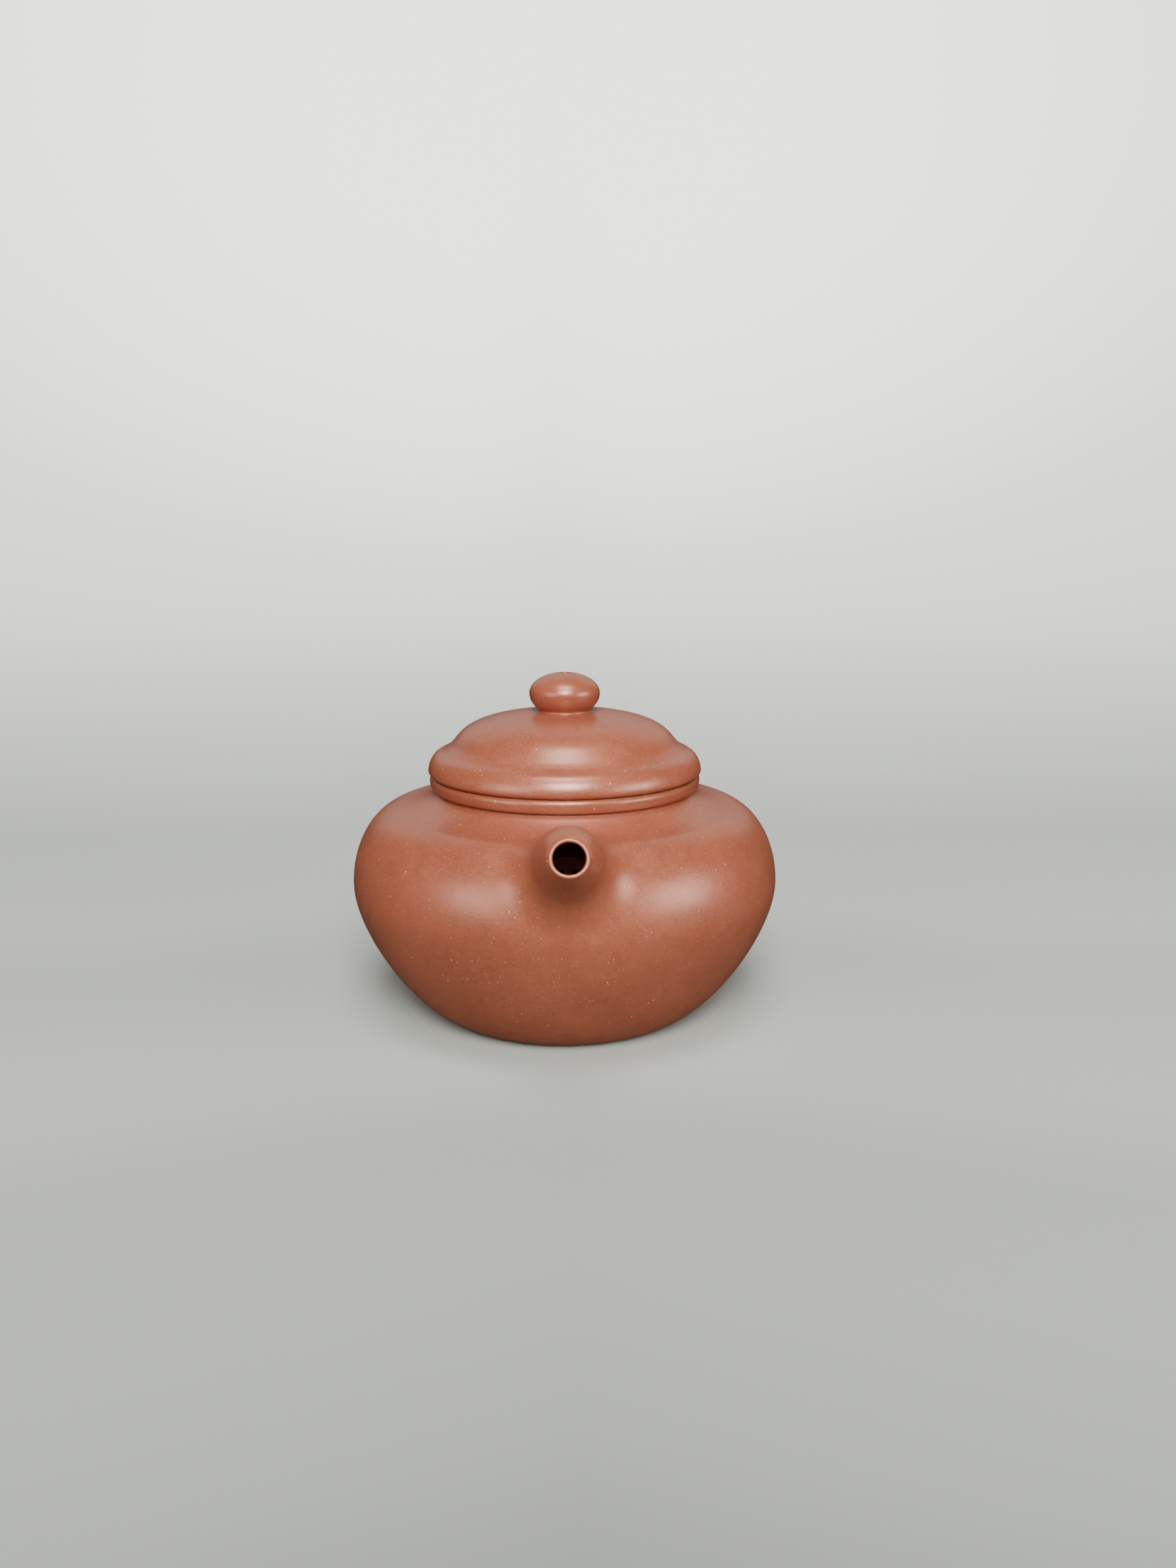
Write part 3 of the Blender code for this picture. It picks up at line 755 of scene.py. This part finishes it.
def make_lid_rim(material):
    """The rolled ring round the rim of the lid."""
    under = quarter(Vector((EDGE.x - EDGE_ROUND, EDGE.y)), EDGE_ROUND, EDGE.y - LID_SEAT, -90, 0, 16)
    over, _ = split_at(lid_outline(), LID_SEAM)
    return turned("lid_rim", [Vector((LID_SEAM, LID_SEAT))] + under + over[1:], material)


def make_lid_dome(material):
    """The domed slab of the lid, with the air hole through its middle."""
    _, over = split_at(lid_outline(), LID_SEAM)
    dome = [point for point in over if point.x > AIR_HOLE_RADIUS + 0.3]
    under = [point for point in offset(dome, LID_THICKNESS)[::INSIDE_EVERY]
             if AIR_HOLE_RADIUS + 1 < point.x < BEZEL_BORE - 0.8]
    outline = dome + [Vector((AIR_HOLE_RADIUS, DOME_TOP))]
    outline += [Vector((AIR_HOLE_RADIUS, DOME_TOP - LID_THICKNESS))] + under[::-1]
    outline += [Vector((BEZEL_BORE - 0.3, LID_SEAT + 1.2)), Vector((BEZEL_BORE, LID_SEAT)),
                Vector((LID_SEAM, LID_SEAT))]
    return turned("lid_dome", outline, material)


def make_lid_knob(material):
    """The flattened ball on top of the lid, with the air hole down through it."""
    centre = Vector((0, KNOB_EQUATOR))
    lid = lid_outline()
    foot_angle = -math.degrees(math.asin((KNOB_EQUATOR - DOME_TOP - KNOB_FILLET) / KNOB_HEIGHT_BELOW))
    lip_angle = math.degrees(math.acos((AIR_HOLE_RADIUS + AIR_HOLE_LIP) / KNOB_RADIUS))
    side = quarter(centre, KNOB_RADIUS, KNOB_HEIGHT_BELOW, foot_angle, 0, 24)
    start = side[0]
    down = (side[0] - side[1]).normalized()
    landing_radius = start.x + KNOB_FILLET * 0.35
    landing = Vector((landing_radius, height_at(lid, landing_radius)))
    landing_handle = landing - Vector((KNOB_FILLET * 0.7, 0))
    fillet = curve(landing, landing_handle, start + down * KNOB_FILLET * 0.6, start, FILLET_STEPS)
    side += quarter(centre, KNOB_RADIUS, KNOB_HEIGHT_ABOVE, 0, lip_angle, 36)[1:]
    top = side[-1]
    lip = curve(top, top - Vector((AIR_HOLE_LIP * 0.7, -0.02)),
                Vector((AIR_HOLE_RADIUS, top.y - AIR_HOLE_LIP * 0.3)),
                Vector((AIR_HOLE_RADIUS, top.y - AIR_HOLE_LIP)), FILLET_STEPS)[1:]
    sunk = [Vector((AIR_HOLE_RADIUS, DOME_TOP - 0.1)), Vector((landing.x + 0.1, landing.y - 0.06))]
    return turned("lid_knob", sunk + fillet + side[1:] + lip, material, steps=KNOB_TURN_STEPS)


def build_teapot():
    """Makes every piece, hides the CAD node that it stands for and hangs it on its body."""
    body = clay("clay_body")
    inner = clay("clay_inner", lightness=0.92, roughness=0.55)
    lines = clay("clay_lines", lightness=1.03, roughness=0.34)
    lid = clay("clay_lid", lightness=1.03, roughness=0.35)
    pieces = [
        (make_wall(body), "body_wall", "pot", "clay_body"),
        (make_shoulder(body), "shoulder_disc", "pot", "clay_body"),
        (make_spout(body), "spout", "pot", "clay_body"),
        (make_handle(body), "handle", "pot", "clay_body"),
        (make_ring(lines), "mouth_ring", "pot", "clay_lines"),
        (make_base(inner), "base_disc", "pot", "clay_inner"),
        (make_strainer(inner), "strainer", "pot", "clay_inner"),
        (make_lid_flange(inner), "lid_bezel", "bezel", "clay_inner"),
        (make_lid_rim(lines), "lid_edge", "lid", "clay_lines"),
        (make_lid_dome(lid), "lid_plate", "lid", "clay_lid"),
        (make_lid_knob(lid), "knob", "lid", "clay_lid"),
    ]
    for piece, node, body_name, slot in pieces:
        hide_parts(node)
        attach(piece, body_name)


# The studio, in metres
SWEEP_FLAT = 0.9
SWEEP_BEND = 0.7
SWEEP_HEIGHT = 2.2
SWEEP_STEPS = 96
SWEEP_PARTS = 0.115  # the floor inside this radius lights the pot from below, and the rest is only seen
# How the floor's colour and its own glow change from behind the camera to the wall, as painted light and
# shade: the colour is painted lighter and darker by depth, and the glow is painted light on the floor and
# wall: (place, value)
FLOOR_PAINTED_LIGHT_AND_SHADE = [(-1.0, 0.55), (-0.45, 0.50), (-0.26, 0.35), (-0.20, 0.22), (-0.17, 0.23), (-0.145, 0.31),
               (-0.11, 0.36), (-0.06, 0.38), (-0.035, 0.45), (0.0, 0.47), (0.03, 0.47), (0.10, 0.50),
               (0.30, 0.52), (0.60, 0.55)]
FLOOR_PAINTED_GLOW = [(-1.60, 2.40), (-0.90, 1.20), (-0.30, 0.40), (-0.20, 0.0), (0.05, 0.0), (0.09, 0.10),
              (0.20, 0.14), (0.32, 0.42), (0.56, 0.80), (0.90, 1.15), (1.25, 1.50), (1.42, 2.10),
              (1.60, 2.60)]
FLOOR_SPAN = 1.7  # the two lists reach this far each way
FLOOR_SIDES = 0.3  # away from the middle, the floor looks as it does this much further back
FLOOR_SIDES_REACH = 0.12
FLOOR_HUE = (0.965, 1.020, 0.930)
PAPER_ROUGHNESS = 0.9
PAPER_GLOSS = 0.2
GLOW_TOP = 4.0  # the brightest value that the lists can hold


def sweep_part(name, outline, material, disc=False):
    """Part of the sweep: an outline of (radius, height) points, turned once round."""
    builder = bmesh.new()
    angles = [FULL_TURN * step / SWEEP_STEPS for step in range(SWEEP_STEPS)]
    rings = []
    for point in outline:
        rings.append([builder.verts.new((point.x * math.cos(angle), point.x * math.sin(angle), point.y))
                      for angle in angles])
    if disc:
        builder.faces.new(rings[0])
    for near, far in zip(rings, rings[1:]):
        for index in range(SWEEP_STEPS):
            builder.faces.new((near[index - 1], near[index], far[index], far[index - 1]))
    part = finish(name, builder, material)
    if part.data.polygons[-1].normal.z < 0 or part.data.polygons[0].normal.z < 0:
        part.data.flip_normals()
    return part


def painted_light_by_depth(nodes, values):
    """Painted light and shade: a colour that changes from the front of the floor to the back."""
    source = nodes.tree.nodes.new("ShaderNodeTexCoord")
    parts = nodes.tree.nodes.new("ShaderNodeSeparateXYZ")
    nodes.link(source.outputs["Object"], parts.inputs["Vector"])
    beside = nodes.maths("MINIMUM", nodes.maths("ABSOLUTE", parts.outputs["X"]), FLOOR_SIDES_REACH)
    depth = nodes.maths("ADD", parts.outputs["Y"], nodes.maths("MULTIPLY", beside, FLOOR_SIDES))
    ramp = nodes.tree.nodes.new("ShaderNodeValToRGB")
    ramp.color_ramp.interpolation = "LINEAR"
    while len(ramp.color_ramp.elements) < len(values):
        ramp.color_ramp.elements.new(0.5)
    for element, (place, tone) in zip(ramp.color_ramp.elements, values):
        element.position = (place + FLOOR_SPAN) / (2 * FLOOR_SPAN)
        element.color = [part * tone / GLOW_TOP for part in FLOOR_HUE] + [1.0]
    nodes.link(nodes.remap(depth, -FLOOR_SPAN, FLOOR_SPAN), ramp.inputs["Fac"])
    return ramp.outputs["Color"]


def make_sweep():
    """A pale round floor that curves up into a wall on every side, with light and shade painted into its
    colour and a painted glow, both changing by depth.
    """
    nodes = Nodes("painted_light_paper")
    # The floor's colour carries painted light and shade by depth.
    tone = nodes.mix(1.0, painted_light_by_depth(nodes, FLOOR_PAINTED_LIGHT_AND_SHADE), (GLOW_TOP, GLOW_TOP, GLOW_TOP, 1.0), "MULTIPLY")
    nodes.link(tone, nodes.shader.inputs["Base Color"])
    nodes.shader.inputs["Roughness"].default_value = PAPER_ROUGHNESS
    nodes.shader.inputs["Specular IOR Level"].default_value = PAPER_GLOSS
    # Its glow is painted light, brighter towards the wall.
    nodes.link(painted_light_by_depth(nodes, FLOOR_PAINTED_GLOW), nodes.shader.inputs["Emission Color"])
    nodes.shader.inputs["Emission Strength"].default_value = GLOW_TOP
    near = [Vector((radius, 0.0)) for radius in (0.002, 0.03, 0.06, 0.09, SWEEP_PARTS)]
    far = [Vector((radius, 0.0)) for radius in (SWEEP_PARTS, 0.15, 0.2, 0.3, 0.5, 0.7)]
    far += quarter(Vector((SWEEP_FLAT, SWEEP_BEND)), SWEEP_BEND, SWEEP_BEND, -90, 0, 24)
    far.append(Vector((SWEEP_FLAT + SWEEP_BEND, SWEEP_HEIGHT)))
    floor = sweep_part("studio_floor", near, nodes.material, disc=True)
    floor.visible_glossy = False
    around = sweep_part("studio_around", far, nodes.material)
    around.visible_glossy = False
    around.visible_diffuse = False


def make_light(name, place, aim, size, power):
    """A soft rectangular light that points at a target and isn't seen itself."""
    data = bpy.data.lights.new(name, "AREA")
    data.shape = "RECTANGLE"
    data.size, data.size_y = size
    data.energy = power
    thing = bpy.data.objects.new(name, data)
    thing.location = place
    thing.rotation_mode = "QUATERNION"
    thing.rotation_quaternion = (Vector(aim) - Vector(place)).to_track_quat("-Z", "Y")
    thing.visible_camera = False
    bpy.context.scene.collection.objects.link(thing)
    return thing


# Each light's azimuth to the right of the camera's side, its elevation, its distance, its size and its power
LIGHTS = [
    ("overhead", 0.0, 71.0, 1.00, (0.42, 0.36), 6.2),
    ("front", 1.0, 36.0, 0.95, (0.40, 0.36), 13.8),
    ("right", 60.0, 13.0, 0.95, (0.54, 0.36), 4.8),
    ("left", -47.0, 15.0, 0.95, (0.50, 0.40), 3.0),
    ("back", 180.0, 35.0, 1.20, (2.00, 1.00), 4.2),
]
GLOSS_ONLY = ("back",)  # seen only as a reflection along the pot's outline
LIGHT_AIM = Vector((0, 0, 0.04))
ROOM_COLOUR = (0.97, 1.0, 0.98)
ROOM_STRENGTH = 0.04


def make_studio():
    """The floor, the lights and the room's own light."""
    make_sweep()
    for name, azimuth, elevation, distance, size, power in LIGHTS:
        turn, lift = math.radians(azimuth), math.radians(elevation)
        way = Vector((math.sin(turn) * math.cos(lift), -math.cos(turn) * math.cos(lift), math.sin(lift)))
        light = make_light(name, LIGHT_AIM + way * distance, LIGHT_AIM, size, power)
        light.visible_diffuse = name not in GLOSS_ONLY
    world = bpy.data.worlds.new("room")
    world.use_nodes = True
    world.node_tree.nodes["Background"].inputs["Color"].default_value = opaque(ROOM_COLOUR)
    world.node_tree.nodes["Background"].inputs["Strength"].default_value = ROOM_STRENGTH
    bpy.context.scene.world = world


CAMERA_PLACE = Vector((-3.4, -283.6, 113.2))
CAMERA_PITCH = 11.885  # degrees down
CAMERA_YAW = 1.79  # degrees to the right
CAMERA_LENS = 28.09
CAMERA_SENSOR = 36.0


def make_camera():
    """The camera at the photograph's viewing angle."""
    data = bpy.data.cameras.new("camera")
    data.lens = CAMERA_LENS
    data.sensor_width = CAMERA_SENSOR
    data.clip_start = 0.01
    camera = bpy.data.objects.new("camera", data)
    camera.location = CAMERA_PLACE * METRES
    camera.rotation_euler = (math.radians(90 - CAMERA_PITCH), 0, math.radians(-CAMERA_YAW))
    bpy.context.scene.collection.objects.link(camera)
    bpy.context.scene.camera = camera


build_teapot()
make_studio()
make_camera()
